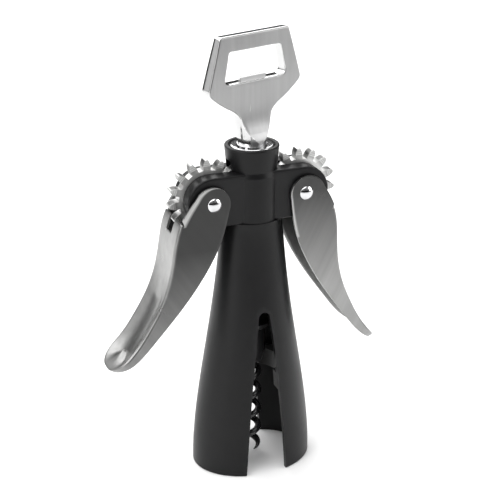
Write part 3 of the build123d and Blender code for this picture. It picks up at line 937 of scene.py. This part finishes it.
@dataclass
class LeverArm:
    """One swinging lever: a pressed steel channel on its rivet. Millimetres and degrees.

    outer and inner list the side outline's edges as (share of the length, offset from the
    line through the pivot), and crown is the outline's point past the pivot. The slot for
    the gear runs along the middle of the web up to slot_end, and the web starts at web_start.
    """

    side: Side
    rest_angle: float
    steel: Finish
    length: float = 82.0
    half_width: float = 10.6
    sheet: float = 1.1
    corner: float = 1.5
    corner_share: float = 0.3
    tip_radius: float = 9.0
    pivot: tuple[float, float] = (20.0, 124.0)
    web_start: float = 13.0
    slot_end: float = 19.0
    slot_half: float = 3.2
    outer: tuple[tuple[float, float], ...] = (
        (0.018, 8.2), (0.14, 8.5), (0.22, 7.2), (0.38, 1.8),
        (0.56, -2.4), (0.71, -3.2), (0.87, -2.4), (1.0, 0.4),
    )
    inner: tuple[tuple[float, float], ...] = (
        (-0.012, -6.9), (0.13, -10.7), (0.31, -12.4), (0.52, -11.5),
        (0.75, -8.6), (0.93, -4.6), (1.007, -0.9),
    )
    crown: tuple[float, float] = (-7.0, 0.6)
    dish: float = 1.9
    dish_powers: tuple[float, float] = (2.4, 1.2)
    dish_start: float = 22.0
    dish_growth: float = 24.0
    dish_growth_power: float = 1.3
    dish_past_tip: float = 1.5
    dish_tip_run: float = 6.0
    dish_tip_least: float = 0.25
    focus_gap: float = 1.0
    edge_round: float = 0.3
    edge_angle: float = 50.0
    head_radius: float = 3.0
    head_height: float = 1.2
    shank_radius: float = 2.0
    cap_depth: float = 1.0
    end_steps: int = 22
    slot_steps: int = 7
    length_steps: int = 60
    bend_steps: int = 20
    tip_steps: int = 7
    wall_steps: int = 14
    corner_steps: int = 8
    web_steps: int = 15
    dome_steps: int = 16
    around: int = 64

    @property
    def word(self) -> str:
        """left or right."""
        return self.side.name.lower()

    def place(self, along: Grid, outwards: Grid, depth: Grid) -> Grid:
        """Points in the object's frame from a lever's own lengths.

        A point lies along the lever from its pivot, outwards across it, and depth in Y.

        Args:
            along: distance from the pivot along the lever.
            outwards: distance from the lever's middle line, away from the body.
            depth: distance from the XZ plane, as Y.

        Returns:
            An array with three numbers per point.
        """
        turn, out = radians(self.rest_angle), self.side.value
        x = out * (self.pivot[0] + along * sin(turn) + outwards * cos(turn))
        z = self.pivot[1] - along * cos(turn) + outwards * sin(turn)
        return np.stack(np.broadcast_arrays(x, depth, z), axis=-1)

    def edges(self, along: Grid) -> tuple[Grid, Grid]:
        """Upper and lower offsets of the side outline at places along the lever.

        Past the pivot the outline is a half circle through the crown and the two edge ends.

        Args:
            along: distances from the pivot.

        Returns:
            The outer and the inner edge's offsets.
        """
        outer, inner = (np.array(edge) * (self.length, 1.0) for edge in (self.outer, self.inner))
        upper = smooth_curve(outer[:, 0], outer[:, 1], along)
        lower = smooth_curve(inner[:, 0], inner[:, 1], along)
        top, low, crown = outer[0], inner[0], np.array(self.crown)
        sides = np.stack((top - crown, low - crown))
        centre = crown + np.linalg.solve(sides, 0.5 * np.sum(sides * sides, axis=1))
        radius = np.linalg.norm(crown - centre)
        bow = np.sqrt(np.maximum(radius**2 - (along - centre[0]) ** 2, 0.0))
        upper = np.where(along < top[0], centre[1] + bow, upper)
        lower = np.where(along < low[0], centre[1] - bow, lower)
        return upper, lower

    def plan(self) -> tuple[Grid, Grid]:
        """The plan outline, from the front cheek's pivot end round the tip to the rear cheek's.

        The cheeks are straight, with places crowded together at the round pivot end, and the
        tip is two quarter circles with a short straight piece between them.

        Returns:
            The outline's distances along the lever and its depths.
        """
        start, near = self.crown[0] + HAIR, self.length - self.tip_radius
        crowd = 1 - np.cos(np.linspace(0, pi / 2, self.end_steps))
        straight = np.concatenate((
            start + (self.web_start - start) * crowd,
            np.linspace(self.web_start, self.slot_end, self.slot_steps)[1:],
            np.linspace(self.slot_end, near, self.length_steps)[1:],
        ))
        bend = np.linspace(0, pi / 2, self.bend_steps)[1:]
        inset = self.half_width - self.tip_radius
        front_along = np.concatenate((straight, near + self.tip_radius * np.sin(bend)))
        cheek = np.full(len(straight), self.half_width)
        front_depth = np.concatenate((cheek, inset + self.tip_radius * np.cos(bend)))
        tip_depth = np.linspace(inset, -inset, self.tip_steps)[1:-1]
        tip_along = np.full(len(tip_depth), self.length)
        along = np.concatenate((front_along, tip_along, front_along[::-1]))
        depth = np.concatenate((-front_depth, -tip_depth, front_depth[::-1]))
        return along, depth

    def dish_depth(self, along: Grid, share: Grid) -> Grid:
        """How far the web sinks: a rounded hollow that grows from the pivot end and eases at the tip.

        Across the web it is 1 less a power of the share, raised to a second power.

        Args:
            along: distances from the pivot along the lever.
            share: 1 at the web's edge and 0 on its middle line.

        Returns:
            The depths, one row per distance.
        """
        growth = np.clip((along - self.dish_start) / self.dish_growth, 0, 1) ** self.dish_growth_power
        left = (self.length + self.dish_past_tip - along) / self.dish_tip_run
        fade = growth * np.clip(left, self.dish_tip_least, 1)
        flat_power, round_power = self.dish_powers
        return self.dish * fade[:, None] * (1 - share**flat_power) ** round_power

    def kept_faces(self, along: Grid, columns: int, slot_column: int) -> Grid:
        """The faces of the sheet's grid, without the web over the gear and without the slot.

        Args:
            along: distances from the pivot along the lever, one per row of points.
            columns: points in each row.
            slot_column: first column of faces that lies in the slot.

        Returns:
            One row of four corner numbers per face.
        """
        rows = len(along)
        faces = grid_faces(rows, columns, False, False).reshape(rows - 1, columns - 1, 4)
        middle = 0.5 * (along[:-1] + along[1:])[:, None]
        column = np.arange(columns - 1)[None, :]
        over_gear = (middle < self.web_start) & (column >= self.wall_steps - 1)
        in_slot = (middle < self.slot_end) & (column >= slot_column)
        return faces[~(over_gear | in_slot)]

    def channel(self) -> bpy.types.Object:
        """The pressed channel, as one sheet with its thickness added inwards.

        One parameter runs round the plan outline. The other runs up the wall, over a rounded
        corner of the sheet, and across the web to the middle line, where the web is dished.

        Returns:
            The channel.
        """
        along, depth = self.plan()
        upper, lower = (edge[:, None] for edge in self.edges(along))
        cheek_only = along[:, None] < self.web_start - HAIR / 2
        reach = np.minimum(self.corner, (upper - lower) * self.corner_share)
        reach = np.where(cheek_only, HAIR, reach)
        wall = np.linspace(0, 1, self.wall_steps)
        turn = np.linspace(0, pi / 2, self.corner_steps)[1:]
        slot_edge = self.slot_half / (self.half_width - self.corner)
        share = np.append(np.linspace(1, 0, self.web_steps)[1:], slot_edge)
        share = np.sort(share)[::-1]
        # the grid's lines over the web run from the outline to points on the middle line
        focus = np.minimum(along, self.length - self.tip_radius - self.focus_gap)
        full = np.hypot(along - focus, depth)[:, None]
        in_wall = np.zeros((len(along), self.wall_steps))
        in_turn = reach * (1 - np.cos(turn))
        in_web = full - (full - reach) * share
        inwards = np.concatenate((in_wall, in_turn, in_web), axis=1)
        up_wall = lower + (upper - reach - lower) * wall
        up_turn = upper - reach + reach * np.sin(turn)
        up_web = upper - self.dish_depth(along, share)
        height = np.concatenate((up_wall, up_turn, up_web), axis=1)
        plan_along = along[:, None] + (focus - along)[:, None] / full * inwards
        plan_depth = depth[:, None] - depth[:, None] / full * inwards
        # past the wall, heights follow the outline at their own place along the lever
        own_upper, _ = self.edges(np.clip(plan_along, self.web_start, None))
        past_wall = np.arange(height.shape[1]) >= self.wall_steps
        shift = np.where(past_wall & ~cheek_only, own_upper - upper, 0.0)
        points = self.place(plan_along, height + shift, plan_depth)
        slot_column = self.wall_steps + len(turn) + int(np.argmin(np.abs(share - slot_edge)))
        faces = self.kept_faces(along, height.shape[1], slot_column)
        piece = mesh_piece(f"{self.word}_lever_channel", points, faces)
        outwards = self.place(np.zeros(1), np.ones(1), np.zeros(1)) - self.place(*np.zeros((3, 1)))
        if np.sum(face_normals(piece) @ outwards[0]) < 0:
            piece.data.flip_normals()
        self.thicken(piece)
        return piece

    def thicken(self, piece: bpy.types.Object) -> None:
        """Gives the sheet its thickness on the inner side and rounds its cut edges."""
        wall = piece.modifiers.new("sheet", "SOLIDIFY")
        wall.thickness = self.sheet * MM
        wall.offset = -1.0
        wall.use_even_offset = True
        wall.bevel_convex = 0.0
        edge = piece.modifiers.new("pressed_edge", "BEVEL")
        edge.width = self.edge_round * MM
        edge.segments = 2
        edge.limit_method = "ANGLE"
        edge.angle_limit = radians(self.edge_angle)

    def rivet_end(self, node: str, facing: float, foot: float) -> bpy.types.Object:
        """One domed end of the rivet, turned round the pivot: a cap of a sphere, a rim and a shank.

        Args:
            node: the node that it stands for.
            facing: the sign of the Y that the dome looks along.
            foot: where the shank ends, from the XZ plane.

        Returns:
            The rivet's end.
        """
        sphere = (self.head_radius**2 + self.head_height**2) / (2 * self.head_height)
        angle = np.linspace(0, np.arcsin(self.head_radius / sphere), self.dome_steps)
        rise = self.half_width + self.head_height - sphere * (1 - np.cos(angle))
        profile = np.concatenate((
            np.stack((sphere * np.sin(angle), rise), axis=-1),
            [[self.head_radius, self.half_width], [self.shank_radius, self.half_width]],
            [[self.shank_radius, foot], [0.0, foot]],
        ))
        centre = np.array((self.side.value * self.pivot[0], 0.0, self.pivot[1]))
        piece = turned(f"{node}_dome", profile, centre, np.array((0.0, facing, 0.0)), self.around)
        dress(piece, CHROME.build())
        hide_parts(node)
        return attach(piece, f"{self.word}_arm")

    def build(self) -> list[bpy.types.Object]:
        """Makes the channel and the rivet's two domed ends.

        Returns:
            The pieces.
        """
        channel = self.channel()
        dress(channel, self.steel.build())
        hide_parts(f"{self.word}_lever")
        return [
            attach(channel, f"{self.word}_arm"),
            self.rivet_end(f"{self.word}_pivot_rivet", -1.0, 0.0),
            self.rivet_end(f"{self.word}_rivet_cap", 1.0, self.half_width - self.cap_depth),
        ]


# ------------------------------------------------------------------ studio
@dataclass(frozen=True)
class Lamp:
    """A rectangular area light: where it hangs, its width and height, its watts and its target."""

    name: str
    place: Triple
    size: tuple[float, float]
    power: float
    target: Triple = (0.0, 0.0, 0.09)

    def build(self) -> None:
        """Hangs the light and turns it to its target."""
        light = bpy.data.lights.new(self.name, "AREA")
        light.shape = "RECTANGLE"
        light.size, light.size_y = self.size
        light.energy = self.power
        lamp = bpy.data.objects.new(self.name, light)
        lamp.location = self.place
        way = Vector(self.target) - Vector(self.place)
        lamp.rotation_euler = way.to_track_quat("-Z", "Y").to_euler()
        bpy.context.scene.collection.objects.link(lamp)


@dataclass
class Studio:
    """Floor, soft lights, surrounding air and the camera. Metres and radians.

    air lists (height, tone) from straight down at 0 to straight up at 1, and side_tones are
    the factors of the tone where X is 0 and where it is greatest.
    """

    eye: Triple = (-0.18285, -0.45565, 0.30472)
    yaw: float = 0.38047
    pitch: float = 0.39914
    roll: float = 0.00346
    lens: float = 91.8
    sensor: float = 36.0
    floor_half: float = 6.0
    floor_points: int = 13
    paper_tone: float = 0.9
    paper_roughness: float = 0.9
    paper_specular: float = 0.1
    lamps: tuple[Lamp, ...] = (
        Lamp("top_box", (-0.35, 0.05, 1.0), (2.2, 1.8), 27.0),
        Lamp("left_strip", (-0.95, 0.5, 0.4), (0.45, 0.9), 1.0),
        Lamp("right_strip", (0.75, -0.25, 0.3), (0.2, 0.8), 0.8),
        Lamp("front_box", (0.85, -0.5, 0.5), (0.6, 0.7), 3.4),
        Lamp("left_panel", (-0.9, -0.45, 0.32), (0.3, 0.8), 2.6),
        Lamp("back_box", (0.1, 1.2, 0.8), (1.4, 0.6), 9.0, (0.0, 0.9, 0.0)),
    )
    air: tuple[tuple[float, float], ...] = (
        (0.0, 0.5), (0.46, 0.4), (0.5, 0.05), (0.6, 0.08), (0.7, 0.8), (1.0, 1.2),
    )
    side_tones: tuple[float, float] = (0.35, 1.5)
    air_strength: float = 0.45

    def floor(self) -> None:
        """A wide pale sheet: a flat square grid of points."""
        reach = np.linspace(-self.floor_half / MM, self.floor_half / MM, self.floor_points)
        points = np.stack(np.broadcast_arrays(reach[:, None], reach[None, :], 0.0), axis=-1)
        piece = mesh_piece("studio_floor", points, grid_faces(len(reach), len(reach), False, False))
        material = bpy.data.materials.new("studio_paper")
        material.use_nodes = True
        shader = material.node_tree.nodes["Principled BSDF"]
        tone = self.paper_tone
        shader.inputs["Base Color"].default_value = (tone, tone, tone, 1.0)
        shader.inputs["Roughness"].default_value = self.paper_roughness
        shader.inputs["Specular IOR Level"].default_value = self.paper_specular
        dress(piece, material)

    def surroundings(self) -> None:
        """Air that is darkest near the horizon, for dark bands in the metal, and bright to the sides."""
        world = bpy.data.worlds.new("studio_air")
        bpy.context.scene.world = world
        world.use_nodes = True
        tree = world.node_tree
        back = tree.nodes["Background"]
        back.inputs["Strength"].default_value = self.air_strength
        place, split = add_node(tree, "TexCoord"), add_node(tree, "SeparateXYZ")
        ramp = add_node(tree, "ValToRGB")
        while len(ramp.color_ramp.elements) < len(self.air):
            ramp.color_ramp.elements.new(0.5)
        for element, (height, tone) in zip(ramp.color_ramp.elements, self.air):
            element.position = height
            element.color = (tone, tone, tone, 1.0)
        lift = add_node(tree, "MapRange", {"From Min": -1.0})
        tree.links.new(place.outputs["Generated"], split.inputs[0])
        tree.links.new(split.outputs["Z"], lift.inputs["Value"])
        tree.links.new(lift.outputs["Result"], ramp.inputs["Fac"])
        side = add_node(tree, "Math", operation="ABSOLUTE")
        width = add_node(tree, "MapRange", dict(zip(("To Min", "To Max"), self.side_tones)))
        shade = add_node(tree, "VectorMath", operation="MULTIPLY")
        tree.links.new(split.outputs["X"], side.inputs[0])
        tree.links.new(side.outputs[0], width.inputs["Value"])
        tree.links.new(ramp.outputs["Color"], shade.inputs[0])
        tree.links.new(width.outputs["Result"], shade.inputs[1])
        tree.links.new(shade.outputs[0], back.inputs["Color"])

    def camera(self) -> None:
        """The camera, from its yaw, pitch and roll."""
        lens = bpy.data.cameras.new("view")
        lens.lens, lens.sensor_width = self.lens, self.sensor
        eye = bpy.data.objects.new("view", lens)
        turn = Euler((pi / 2 - self.pitch, 0.0, -self.yaw), "XYZ").to_matrix()
        eye.rotation_euler = (turn @ Euler((0.0, 0.0, self.roll)).to_matrix()).to_euler()
        eye.location = self.eye
        bpy.context.scene.collection.objects.link(eye)
        bpy.context.scene.camera = eye

    def build(self) -> None:
        """Floor, lights, air, camera and a plain tone curve."""
        bpy.context.scene.view_settings.view_transform = "Standard"
        self.floor()
        for lamp in self.lamps:
            lamp.build()
        self.surroundings()
        self.camera()


def corners(bounds: Any) -> list[list[float]]:
    """A box's two corners as plain lists of numbers."""
    return [[float(v) for v in corner] for corner in bounds]


def main() -> None:
    """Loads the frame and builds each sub-assembly in order."""
    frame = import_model()
    Studio().build()
    for node in PlainPieces().build(frame):
        LOG.info("dressed %s", node)
    levers = (
        LeverArm(Side.LEFT, LEFT_REST_ANGLE, LEFT_STEEL),
        LeverArm(Side.RIGHT, RIGHT_REST_ANGLE, RIGHT_STEEL),
    )
    pieces = [Flange().build(), *OpenerHead().build(), Worm().build()]
    for lever in levers:
        pieces += lever.build()
    for piece in pieces:
        LOG.info("built %s", piece.name)


if __name__ == "__main__":
    main()
